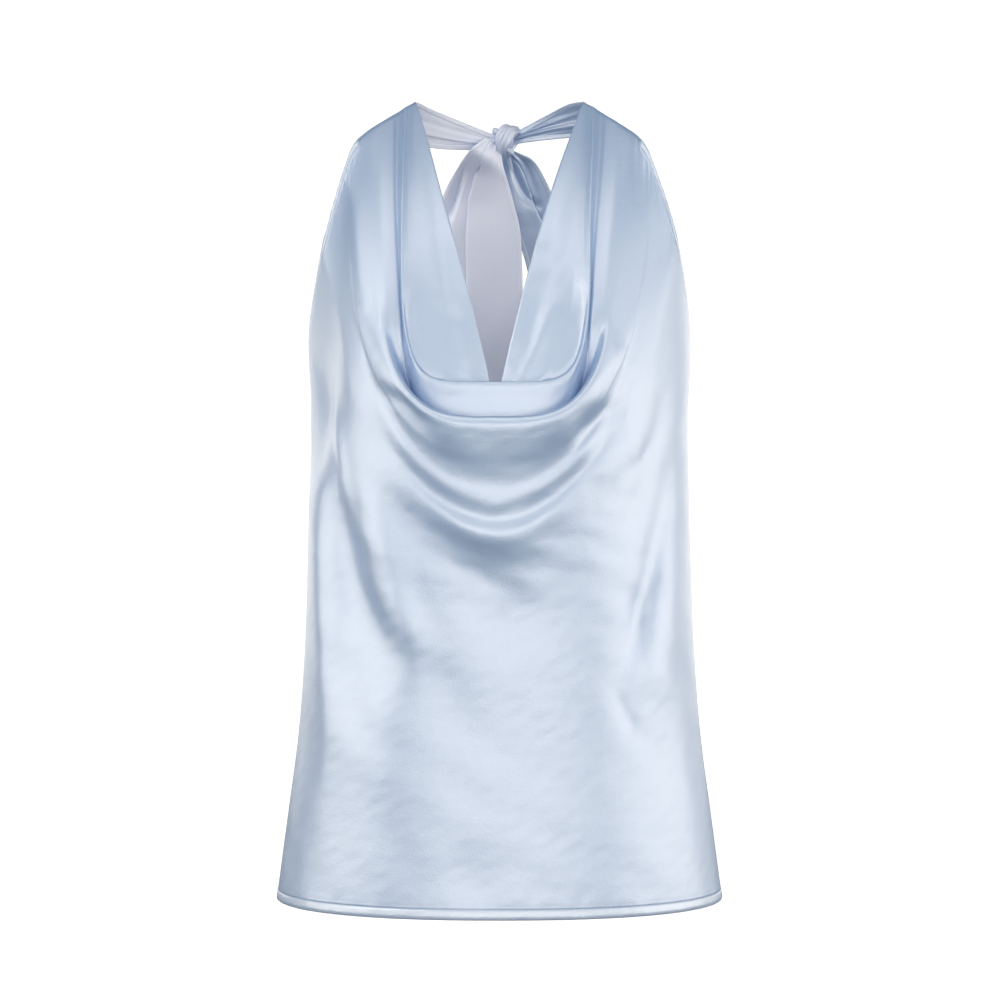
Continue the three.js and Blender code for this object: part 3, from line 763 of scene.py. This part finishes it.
@dataclass
class FrontPanel:
    """The front, with its cowl and the facing that is cut in one with it."""

    cutting: Cutting
    columns: int = 140
    armhole_passes: int = 120
    flank_passes: int = 70
    hem_lift: float = 1.9
    points: np.ndarray = field(init=False)
    row: np.ndarray = field(init=False)
    normals: np.ndarray = field(init=False)
    edge: np.ndarray = field(init=False)
    bare_edge: dict[Side, np.ndarray] = field(init=False)

    def __post_init__(self) -> None:
        """Works out the bare lattice."""
        lines = np.array([self._row(row) for row in FRONT_ROWS])
        self.points, self.row = through(lines, [row.steps for row in FRONT_ROWS])
        self._ease_armholes()
        self.points[..., 1] = np.minimum(self.points[..., 1], -SEAM_INSET)

    def _ease_armholes(self) -> None:
        """Rounds off the bend in the cloth's depth where each armhole turns up from the underarm."""
        depth = self.points[..., 1]
        share = np.abs(np.linspace(-1.0, 1.0, depth.shape[1]))
        first = ROW_AT["underarm"]
        rows = smoothstep(self.row, first, first + 0.4) * (1 - smoothstep(self.row, first + 4, first + 6))
        ease = 0.5 * rows[1:-1, None] * smoothstep(share, 0.6, 0.85)
        steps = np.linalg.norm(np.diff(self.points, axis=0), axis=2)
        before, after = steps[:-1], steps[1:]
        for _ in range(self.armhole_passes):
            middle = (depth[:-2] * after + depth[2:] * before) / (before + after)
            depth[1:-1] += ease * (middle - depth[1:-1])

    def _row(self, row: ClothRow) -> np.ndarray:
        """One row's points from left to right."""
        fine = 400
        end_x = float(outline_half(np.array(row.end)))
        wide = end_x if row.wide is None else row.wide
        turn = np.linspace(0.0, math.pi / 2, fine + 1)
        climb = 1 - np.abs(np.cos(turn)) ** (2 / row.square)
        x = wide * np.sin(turn) ** (2 / row.square) + (end_x - wide) * smoothstep(climb, 0.45, 1)
        z = row.mid + (row.end - row.mid) * climb
        half = np.stack([x, -figure_depth(x, z, "front"), z], axis=1)
        right = evenly(half, self.columns // 2)
        share = np.linspace(0.0, 1.0, len(right))
        right[:, 1] -= self._proud(row, share)
        left = right[:0:-1] * np.array([-1.0, 1.0, 1.0])
        line = np.concatenate([left, right])
        share = np.abs(np.linspace(-1.0, 1.0, len(line)))
        line[:, 0] += COWL_SHIFT * (1 - smoothstep(share, 0.6, 1)) * smoothstep(line[:, 2], 200, 330)
        line[:, 1] -= long_fold_rise(line[:, 0], line[:, 2], "front") * (1 - smoothstep(share, 0.94, 1))
        return line

    @staticmethod
    def _proud(row: ClothRow, share: np.ndarray) -> np.ndarray:
        """How proud a row stands of the figure, from its middle to its end."""
        corner_at = 0.26
        shares = (-corner_at, 0.0, corner_at, row.fade, 1.0)
        return monotone(shares, (row.corner, row.middle, row.corner, row.flank, row.shoulder), share)

    def hem_distance(self) -> np.ndarray:
        """Each place's distance from the nearest hemmed edge: the bottom or an armhole."""
        steps = np.linalg.norm(np.diff(self.points, axis=1), axis=2)
        run = np.concatenate([np.zeros((len(self.points), 1)), np.cumsum(steps, axis=1)], axis=1)
        side = np.minimum(run, run[:, -1:] - run)
        armhole = (self.row > ROW_AT["underarm"] + 0.05) & (self.row < ROW_AT["roll_face"])
        side = np.where(armhole[:, None], side, 1000.0)
        rise = np.linalg.norm(np.diff(self.points, axis=0, prepend=self.points[:1]), axis=2)
        bottom = np.cumsum(rise, axis=0)
        return np.minimum(side, bottom)

    def build(self) -> bpy.types.Object:
        """Creases the cloth and makes it.

        Returns:
            The front's object.
        """
        bare = self.points
        self.bare_edge = {Side.LEFT: bare[:, 0].copy(), Side.RIGHT: bare[:, -1].copy()}
        normals = grid_normals(bare)
        x, z = bare[..., 0], bare[..., 2]
        seam = z[:, 0] <= UNDERARM
        normals[seam, 0], normals[seam, -1] = (-1.0, 0.0, 0.0), (1.0, 0.0, 0.0)
        edge = self.hem_distance()
        u = np.cumsum(np.linalg.norm(np.diff(bare, axis=1, prepend=bare[:, :1]), axis=2), axis=1)
        v = np.cumsum(np.linalg.norm(np.diff(bare, axis=0, prepend=bare[:1]), axis=2), axis=0)
        share = np.abs(np.linspace(-1.0, 1.0, bare.shape[1]))
        above = smoothstep(z, UNDERARM, UNDERARM + 50)
        sewn = smoothstep(share, 0.92, 1.0) * (1 - above)
        lift = crease_rise(x, z, self.row) * (1 - sewn)
        lift += sum(ripple(u, v, kind) for kind in FRONT_RIPPLES)
        armhole = edge < v - 1e-6
        lift += hem_pucker(edge, np.where(armhole, v, u)) + seam_pucker(u, z)
        lift += above * armhole * self.hem_lift * np.exp(-((edge / 5.0) ** 2))
        push = normals.copy()
        push[..., 0] *= 1 - 0.95 * smoothstep(share, 0.7, 1.0)
        shift = push * lift[..., None]
        depth, back = np.maximum(-bare[..., 1], SEAM_INSET), np.maximum(shift[..., 1], 0.0)
        shift[..., 1] -= back - back * depth / (depth + back)
        self.points = bare + shift
        flank = smoothstep(share, 0.5, 0.6) * (1 - smoothstep(share, 0.92, 0.97)) * smoothstep(z, 400, 470)
        for _ in range(self.flank_passes):
            middle = 0.5 * (self.points[:, :-2] + self.points[:, 2:])
            self.points[:, 1:-1] += 0.5 * flank[:, 1:-1, None] * (middle - self.points[:, 1:-1])
        self.points[..., 1] = np.minimum(self.points[..., 1], -SEAM_INSET)
        self.normals = grid_normals(self.points)
        self.normals[seam, 0], self.normals[seam, -1] = (-1.0, 0.0, 0.0), (1.0, 0.0, 0.0)
        self.edge = edge
        return self.cutting.sheet("front_cloth", self.points, hem_half(edge), edge, self.normals)

    def shoulder_line(self, side: Side) -> np.ndarray:
        """The line along which a strap is sewn on behind the shoulder edge, from its corner to the neck."""
        rows = self.row >= ROW_AT["roll_face"]
        return self.bare_edge[side][rows] + np.array([0.0, *STRAP_START])


@dataclass
class BackPanel:
    """The back, scooped low between the armholes."""

    cutting: Cutting
    front: FrontPanel
    columns: int = 130
    rows: int = 100
    seam_reach: float = 12.0
    points: np.ndarray = field(init=False)
    normals: np.ndarray = field(init=False)
    edge: np.ndarray = field(init=False)

    def build(self) -> bpy.types.Object:
        """Makes the back with its folds, hems and small wrinkles, sewn to the front's side edges.

        Returns:
            The back's object.
        """
        turn = np.linspace(-math.pi / 2, math.pi / 2, self.columns + 1)
        across = np.sin(turn)
        top = BACK_SCOOP + (UNDERARM - BACK_SCOOP) * np.abs(across) ** 3
        z = np.linspace(0.0, 1.0, self.rows + 1)[:, None] * top[None, :]
        x = -across[None, :] * outline_half(z)
        seam = (1 - np.abs(across) ** 8)[None, :]
        y = figure_depth(x, z, "back") + long_fold_rise(x, z, "back") * seam
        bare = np.stack([x, np.maximum(y, SEAM_INSET), z], axis=2)
        u = np.cumsum(np.linalg.norm(np.diff(bare, axis=1, prepend=bare[:, :1]), axis=2), axis=1)
        edge = np.minimum(z, top[None, :] - z)
        lift = sum(ripple(u, z, kind) for kind in BACK_RIPPLES)
        lift += hem_pucker(edge, u) + seam_pucker(u, z)
        normals = grid_normals(bare)
        normals[:, 0], normals[:, -1] = (1.0, 0.0, 0.0), (-1.0, 0.0, 0.0)
        points = bare + normals * lift[..., None]
        points[..., 1] = np.maximum(points[..., 1], SEAM_INSET)
        near = np.exp(-((np.minimum(u, u[:, -1:] - u) / self.seam_reach) ** 2))
        for column, front_column in ((0, -1), (-1, 0)):
            seam_line = self.front.points[:, front_column]
            under = seam_line[:, 2] <= UNDERARM + 0.5
            sewn_x = np.interp(points[:, column, 2], seam_line[under, 2], seam_line[under, 0])
            half = slice(0, self.columns // 2) if column == 0 else slice(self.columns // 2, None)
            points[:, half, 0] += (sewn_x - points[:, column, 0])[:, None] * near[:, half]
        normals = grid_normals(points)
        normals[:, 0], normals[:, -1] = (1.0, 0.0, 0.0), (-1.0, 0.0, 0.0)
        self.points, self.normals, self.edge = points, normals, edge
        return self.cutting.sheet("back_cloth", points, hem_half(edge), edge, normals)


@dataclass
class Ribbon:
    """A band of cloth through a few stations, pleated where it is gathered into the knot."""

    cutting: Cutting
    name: str
    first_line: np.ndarray | None
    stations: tuple[Station, ...]
    steps: int
    columns: int = 96
    fold_at: float = 0.33
    lap: float = 3.0
    gather_at: int = 0
    gather_depth: float = 1.5
    gather_count: float = 3.5
    gather_fade: float = 1.0
    wrong_side: int = 1
    crease: Crease | None = None

    def _across(self, station: Station) -> np.ndarray:
        """A station's line, with its first part folded in behind the rest.

        Args:
            station: the line's ends and how deep its fold is, forward of the first part.

        Returns:
            The line's points, at even distances.
        """
        first, second = np.array(station.first, float), np.array(station.second, float)
        width = float(np.linalg.norm(second - first))
        lap = self.lap * min(1.0, abs(station.fold) / 3.0) / width
        at = self.fold_at
        keys = (
            (0.0, 0.5), (0.5 * at, 0.5), (at, 0.46), (at + lap, 0.36), (at + 1.3 * lap, 0.16),
            (at + lap, -0.04), (at + 0.3 * lap, -0.2), (at, -0.36), (at + 0.3 * lap, -0.5),
            (at + 1.6 * lap, -0.52), (0.8, -0.5), (1.0, -0.46),
        )
        rows = np.array([[first + (second - first) * share + np.array([0.0, station.fold * deep, 0.0])]
                         for share, deep in keys])
        return evenly(through(rows, [16] * (len(keys) - 1))[0][:, 0], self.columns)

    def build(self) -> bpy.types.Object:
        """Makes the band.

        Returns:
            The band's object.
        """
        lines = [] if self.first_line is None else [evenly(self.first_line, self.columns)]
        lines += [self._across(station) for station in self.stations]
        points, row = through(np.array(lines), [self.steps] * (len(lines) - 1))
        share = np.linspace(0.0, 1.0, self.columns + 1)[None, :]
        away = np.abs(row - self.gather_at)[:, None]
        pinch = np.exp(-((away / self.gather_fade) ** 1.4))
        wave = np.sin(2 * math.pi * self.gather_count * (share + 0.05 * away) + 0.6)
        wave = wave + 0.45 * np.sin(2 * math.pi * (2.1 * self.gather_count) * share + 1.9)
        normals = grid_normals(points)
        u = np.cumsum(np.linalg.norm(np.diff(points, axis=1, prepend=points[:, :1]), axis=2), axis=1)
        v = np.cumsum(np.linalg.norm(np.diff(points, axis=0, prepend=points[:1]), axis=2), axis=0)
        quiet = np.sin(math.pi * share) ** 0.5
        lift = self.gather_depth * pinch * wave * quiet
        lift += ripple(u, v, Ripple(0.25, len(self.name), 30.0, 0.4))
        points = points + normals * lift[..., None]
        if self.crease is not None:
            distance, place = line_distance(points[..., 0], points[..., 2], self.crease.line)
            bell = np.exp(-((distance / self.crease.reach) ** 2))
            points[..., 1] += self.crease.rise * np.sin(math.pi * place) * bell
        edge = np.minimum(u, u[:, -1:] - u) * 2.0
        if self.first_line is None:
            edge = np.minimum(edge, v[-1:] - v)
        return self.cutting.sheet(self.name, points, hem_half(edge), edge, dull=self.wrong_side)


@dataclass(frozen=True)
class Roll:
    """A thick turn of gathered cloth that follows a path round the knot."""

    path: tuple[tuple[float, float, float], ...]
    radii: tuple[float, ...]
    flat: float
    pleats: int
    depth: float
    closed: bool = False
    twist: float = 0.0


@dataclass
class Knot:
    """The knot at the nape, a core with turns of pleated cloth pulled tight round it."""

    cutting: Cutting
    centre: tuple[float, float, float] = (4.5, 68.0, 612.5)
    around: int = 56
    along: int = 72
    rolls: tuple[Roll, ...] = (
        Roll(((-7, 1, 3), (0, -1, 1), (7, 1, 0)), (7.0, 8.0, 7.0), 1.0, 5, 0.05),
        Roll(
            ((9.2, -1.5, 7.5), (5.0, -6.5, 5.5), (0.3, -8.2, -1.5), (-2.6, -5.5, -8.2), (-1.2, 1.5, -10.4),
             (3.5, 6.5, -6.0), (7.5, 6.8, 1.5), (9.8, 3.0, 7.0)),
            (4.6, 5.0, 4.6, 3.4, 3.6, 4.6, 5.0, 4.6), 0.62, 5, 0.16, True,
        ),
        Roll(
            ((5.5, 1.0, 9.4), (0.8, -5.0, 8.8), (-3.8, -7.6, 2.6), (-4.6, -6.2, -4.2), (-2.8, -2.6, -9.4)),
            (3.0, 3.9, 3.9, 3.2, 2.2), 0.75, 4, 0.15, False, 0.8,
        ),
        Roll(((-8.6, 0.8, 6.6), (-8.0, -3.2, 6.8), (-5.4, -4.6, 3.6)), (2.4, 2.9, 2.2), 0.85, 3, 0.08),
        Roll(((-6.0, 6.0, -3.0), (0.0, 8.0, 3.5), (6.0, 5.0, 8.5)), (3.6, 4.4, 3.4), 0.75, 4, 0.10),
        Roll(((0.5, -1.0, -7.0), (3.6, -2.2, -9.4), (6.4, -0.6, -12.6)), (2.6, 2.6, 2.0), 0.8, 3, 0.12),
    )

    def build(self) -> bpy.types.Object:
        """Sweeps each roll and joins them.

        Returns:
            The knot's object.
        """
        vertices, faces, flat = [], [], []
        for roll in self.rolls:
            ring_points, ring_flat = self._sweep(roll)
            first = sum(len(v) for v in vertices)
            rings = len(ring_points) // self.around
            for r in range(rings if roll.closed else rings - 1):
                for k in range(self.around):
                    a, b = r * self.around + k, r * self.around + (k + 1) % self.around
                    c, d = (((r + 1) % rings) * self.around + n % self.around for n in (k + 1, k))
                    faces.append(tuple(first + n for n in (a, b, c, d)))
            if not roll.closed:
                faces.append(tuple(first + n for n in range(self.around))[::-1])
                faces.append(tuple(first + (rings - 1) * self.around + n for n in range(self.around)))
            vertices.append(ring_points)
            flat.append(ring_flat)
        points = np.concatenate(vertices) + np.array(self.centre)
        far = np.full(len(points), 0.1)
        return self.cutting.mesh(
            "knot_cloth", self.cutting.to_frame(points), faces, self.cutting.satin,
            np.concatenate(flat), far, np.full(len(points), 0.6),
        )

    def _sweep(self, roll: Roll) -> tuple[np.ndarray, np.ndarray]:
        """One roll's rings of points, and their places on the flat cloth."""
        path = np.array(roll.path, float)
        radii = np.array(roll.radii, float)
        if roll.closed:
            path = np.concatenate([path[-2:], path, path[:3]])
            radii = np.concatenate([radii[-2:], radii, radii[:3]])
        rows = np.concatenate([path, radii[:, None]], axis=1)[:, None, :]
        smooth, at = through(rows, [24] * (len(rows) - 1))
        smooth = smooth[:, 0]
        if roll.closed:
            inside = (at >= 2.0) & (at < 2.0 + len(roll.path))
            smooth = smooth[inside]
        count = self.along
        run = arc_lengths(smooth[:, :3])
        total = run[-1]
        at = np.linspace(0, total, count + 1)[:-1] if roll.closed else np.linspace(0, total, count)
        line = np.stack([np.interp(at, run, smooth[:, k]) for k in range(3)], axis=1)
        radius = np.interp(at, run, smooth[:, 3])
        if roll.closed:
            tangent = np.roll(line, -1, axis=0) - np.roll(line, 1, axis=0)
        else:
            tangent = np.gradient(line, axis=0)
            share = np.linspace(-1, 1, count)
            radius = radius * np.sqrt(np.maximum(1 - np.abs(share) ** 5, 0.0015))
        tangent /= np.linalg.norm(tangent, axis=1, keepdims=True)
        out = line / np.maximum(np.linalg.norm(line, axis=1, keepdims=True), 1e-6)
        out -= tangent * np.sum(out * tangent, axis=1, keepdims=True)
        out /= np.maximum(np.linalg.norm(out, axis=1, keepdims=True), 1e-6)
        wide = np.cross(tangent, out)
        angle = np.linspace(0, 2 * math.pi, self.around, endpoint=False)[None, :]
        along = at[:, None]
        pleat = np.cos(roll.pleats * angle + roll.twist * along / 4.0 + 0.7 * np.sin(along / 5.0))
        size = radius[:, None] * (1 + roll.depth * pleat)
        ring = (
            line[:, None, :]
            + wide[:, None, :] * (size * np.cos(angle))[..., None]
            + out[:, None, :] * (size * roll.flat * np.sin(angle))[..., None]
        )
        flat = np.stack([size * angle, along + 0 * angle], axis=2).reshape(-1, 2) * MM
        return ring.reshape(-1, 3), flat


@dataclass
class Stitches:
    """Rows of lockstitch along the hemmed edges."""

    cutting: Cutting
    length: float = 2.4
    pitch: float = 3.1
    thick: float = 0.22

    def build(self, name: str, runs: Sequence[tuple[np.ndarray, np.ndarray]]) -> bpy.types.Object:
        """Lays one modelled stitch along some lines.

        Args:
            name: the joined piece's name.
            runs: for each line, its points and the cloth's outward normals there, in millimetres.

        Returns:
            The joined stitches.
        """
        bpy.ops.object.select_all(action="DESELECT")
        bpy.ops.mesh.primitive_uv_sphere_add(segments=8, ring_count=6, radius=0.5)
        template = bpy.context.object
        shape = np.array([v.co[:] for v in template.data.vertices])
        polygons = [tuple(p.vertices) for p in template.data.polygons]
        bpy.data.objects.remove(template, do_unlink=True)
        shape *= np.array([self.length, self.thick * 1.5, self.thick])
        vertices, faces = [], []
        for points, normals in runs:
            run = arc_lengths(points)
            at = np.arange(self.pitch, run[-1] - self.pitch, self.pitch)
            place = np.stack([np.interp(at, run, points[:, k]) for k in range(3)], axis=1)
            ahead = np.stack([np.interp(at + 1.0, run, points[:, k]) for k in range(3)], axis=1) - place
            out = np.stack([np.interp(at, run, normals[:, k]) for k in range(3)], axis=1)
            along = ahead / np.linalg.norm(ahead, axis=1, keepdims=True)
            out -= along * np.sum(out * along, axis=1, keepdims=True)
            out /= np.linalg.norm(out, axis=1, keepdims=True)
            side = np.cross(out, along)
            for p, a, s, o in zip(place, along, side, out):
                first = len(vertices) * len(shape)
                vertices.append(p + shape[:, :1] * a + shape[:, 1:2] * s + shape[:, 2:] * o)
                faces += [tuple(first + n for n in polygon) for polygon in polygons]
        return self.cutting.mesh(
            name, self.cutting.to_frame(np.concatenate(vertices)), faces, self.cutting.thread,
        )


def edge_run(
    panel: FrontPanel | BackPanel, rows: slice, columns: slice, upright: bool = False
) -> tuple[np.ndarray, np.ndarray]:
    """The line on a panel that lies one hem's width from its edge, just above the cloth.

    Args:
        panel: the front or the back.
        rows: the rows to look in, from the edge inward where the edge runs across.
        columns: the columns to look in, from the edge inward where the edge runs up.
        upright: whether the edge runs up the panel, and not across it.

    Returns:
        The line's points, and the normals there.
    """
    p, n, e = (lattice[rows, columns] for lattice in (panel.points, panel.normals, panel.edge))
    if upright:
        p, n, e = (np.swapaxes(a, 0, 1) for a in (p, n, e))
    placed, facing = [], []
    for k in range(p.shape[1]):
        inside = np.argmax(e[:, k] > HEM_BAND)
        if inside == 0:
            continue
        low, high = e[inside - 1, k], e[inside, k]
        t = (HEM_BAND - low) / (high - low)
        placed.append(p[inside - 1, k] * (1 - t) + p[inside, k] * t)
        facing.append(n[inside - 1, k] * (1 - t) + n[inside, k] * t)
    line, up = np.array(placed), np.array(facing)
    return line + up * STITCH_HEIGHT, up


@dataclass
class Stage:
    """The pale floor and sweep, the soft lights and the camera."""

    floor_z: float = -1.38
    camera_distance: float = 2.1
    camera_z: float = 0.315
    lens: float = 94.5
    ring: float = 2.3
    softboxes: tuple[tuple[str, float, float, float, float, float], ...] = (
        ("front", 3.0, 0.0, 2.6, 1.3, 2.3),
        ("left", -68.0, 0.1, 2.8, 1.3, 2.25),
        ("right", 73.0, 0.0, 3.0, 1.3, 2.45),
        ("front_high", 12.0, 1.55, 2.2, 1.8, 0.5),
        ("left_high", -46.0, 1.35, 1.2, 1.2, 1.9),
        ("left_high_wide", -48.0, 1.35, 2.0, 1.7, 0.95),
        ("right_high", 62.0, 1.4, 2.0, 1.3, 1.45),
        ("front_low", 0.0, -1.25, 2.6, 1.0, 0.3),
        ("top", 0.0, 3.4, 3.2, 1.8, 2.1),
        ("left_rim", -122.0, 0.0, 1.4, 1.2, 0.55),
        ("right_rim", 122.0, 0.0, 1.7, 1.2, 1.2),
        ("back_left", -150.0, 0.3, 1.7, 1.3, 2.1),
        ("back_right", 160.0, 0.3, 1.7, 1.3, 2.4),
    )

    def build(self, cutting: Cutting) -> None:
        """Makes the studio round the top.

        Args:
            cutting: the place of the top in the frame.
        """
        self._sweep()
        eye = Vector((0.0004, cutting.seam_y - self.camera_distance, cutting.hem_z + self.camera_z))
        bpy.ops.object.camera_add(location=eye, rotation=(math.pi / 2, 0.0, 0.0))
        camera = bpy.context.object
        camera.data.lens = self.lens
        camera.data.sensor_width = 36.0
        bpy.context.scene.camera = camera
        target = Vector((0.0, cutting.seam_y, cutting.hem_z + 0.36))
        for name, around, height, wide, tall, radiance in self.softboxes:
            turn = math.radians(around)
            offset = Vector((math.sin(turn) * self.ring, -math.cos(turn) * self.ring, height))
            self._light(name, target + offset, target, (wide, tall), radiance)
        world = bpy.data.worlds.new("studio")
        world.use_nodes = True
        background = world.node_tree.nodes["Background"]
        background.inputs["Color"].default_value = (0.92, 0.96, 1.0, 1.0)
        background.inputs["Strength"].default_value = 0.08
        bpy.context.scene.world = world
        bpy.context.scene.view_settings.view_transform = "Standard"

    def _sweep(self) -> None:
        """A round pale floor whose rim curves up into a wall on every side."""
        bpy.ops.object.select_all(action="DESELECT")
        bpy.ops.mesh.primitive_circle_add(
            vertices=96, radius=4.0, fill_type="NGON", location=(0, 0, self.floor_z)
        )
        floor = bpy.context.object
        floor.name = "floor_sweep"
        bpy.ops.object.mode_set(mode="EDIT")
        bpy.ops.mesh.select_mode(type="EDGE")
        bpy.ops.mesh.select_all(action="SELECT")
        for turn in (0.3, 0.6, 0.9, 1.2, 1.5):
            step = 0.55
            bpy.ops.mesh.extrude_edges_move(TRANSFORM_OT_translate={"value": (0, 0, step * math.sin(turn))})
            grow = 1 + step * math.cos(turn) / 4.5
            bpy.ops.transform.resize(value=(grow, grow, 1.0))
        bpy.ops.mesh.extrude_edges_move(TRANSFORM_OT_translate={"value": (0, 0, 6.0)})
        bpy.ops.object.mode_set(mode="OBJECT")
        bpy.ops.object.shade_smooth()
        made = bpy.data.materials.new("pale_floor")
        made.use_nodes = True
        tree = made.node_tree
        shader = tree.nodes["Principled BSDF"]
        place = Value(tree, node(tree, "ShaderNodeTexCoord").outputs["Object"])
        mottle = node(tree, "ShaderNodeTexNoise", None, {"Vector": place, "Scale": 0.8, "Detail": 2.0})
        pale, paler = (0.86, 0.87, 0.88, 1.0), (0.89, 0.90, 0.91, 1.0)
        tint = node(
            tree, "ShaderNodeMix", {"data_type": "RGBA"},
            {0: Value(tree, mottle.outputs["Fac"]), 6: pale, 7: paler},
        )
        tree.links.new(tint.outputs[2], shader.inputs["Base Color"])
        shader.inputs["Roughness"].default_value = 0.9
        tree.links.new(tint.outputs[2], shader.inputs["Emission Color"])
        shader.inputs["Emission Strength"].default_value = 1.15
        floor.data.materials.append(made)
        floor.visible_diffuse = False
        floor.visible_glossy = False

    @staticmethod
    def _light(
        name: str, place: Vector, target: Vector, size: tuple[float, float], radiance: float
    ) -> None:
        """One softbox of an even radiance, turned to its target."""
        bpy.ops.object.light_add(type="AREA", location=place)
        light = bpy.context.object
        light.name = name
        light.visible_camera = False
        light.data.shape = "RECTANGLE"
        light.data.size, light.data.size_y = size
        light.data.energy = radiance * math.pi * size[0] * size[1]
        light.data.color = (1.0, 0.94, 0.835)
        light.rotation_euler = (target - place).to_track_quat("-Z", "Y").to_euler()


def main() -> None:
    """Builds each piece in order and says what it made."""
    logging.basicConfig(level=logging.INFO, format="%(name)s %(message)s")
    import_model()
    front_low, front_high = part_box("front")
    cutting = Cutting(front_low[2], front_high[1] + 0.15 * MM, Satin().material(), Thread().material())
    front = FrontPanel(cutting)
    front_piece = front.build()
    back = BackPanel(cutting, front)
    back_piece = back.build()
    declare(front_piece, ["front"])
    declare(back_piece, ["back"])
    bands = {}
    for side in Side:
        word = side.name.lower()
        left = side is Side.LEFT
        strap = Ribbon(
            cutting, f"strap_{word}_cloth", front.shoulder_line(side),
            LEFT_STRAP if left else RIGHT_STRAP, 20, lap=2.0, fold_at=0.30 if left else 0.5,
            gather_at=5, gather_depth=0.3 if left else 1.1, gather_count=2.6, gather_fade=3.4,
        )
        bands[f"strap_{word}"] = strap.build()
        tie = Ribbon(
            cutting, f"tie_{word}_cloth", None, LEFT_TIE if left else RIGHT_TIE, 18, columns=110,
            fold_at=0.36, lap=7.0, wrong_side=-side.value, gather_depth=0.4 if left else 1.3,
            gather_fade=1.0 if left else 1.6, crease=TIE_CREASES[side],
        )
        bands[f"tie_end_{word}"] = tie.build()
    for name, piece in bands.items():
        declare(piece, [name])
    knot = Knot(cutting).build()
    declare(knot, ["knot"])
    sewing = Stitches(cutting)
    under = int(np.argmax(front.row > ROW_AT["underarm"] + 0.3))
    top = int(np.argmax(front.row > ROW_AT["roll_face"] - 0.1))
    armhole = slice(under, top)
    front_stitches = sewing.build("stitches_front", [
        edge_run(front, slice(None), slice(6, -6)),
        edge_run(front, armhole, slice(0, 40), upright=True),
        edge_run(front, armhole, slice(-1, -41, -1), upright=True),
    ])
    back_stitches = sewing.build("stitches_back", [
        edge_run(back, slice(None), slice(2, -2)),
        edge_run(back, slice(None, None, -1), slice(4, -4)),
    ])
    declare(front_stitches, [])
    declare(back_stitches, [])
    Stage().build(cutting)


if __name__ == "__main__":
    main()
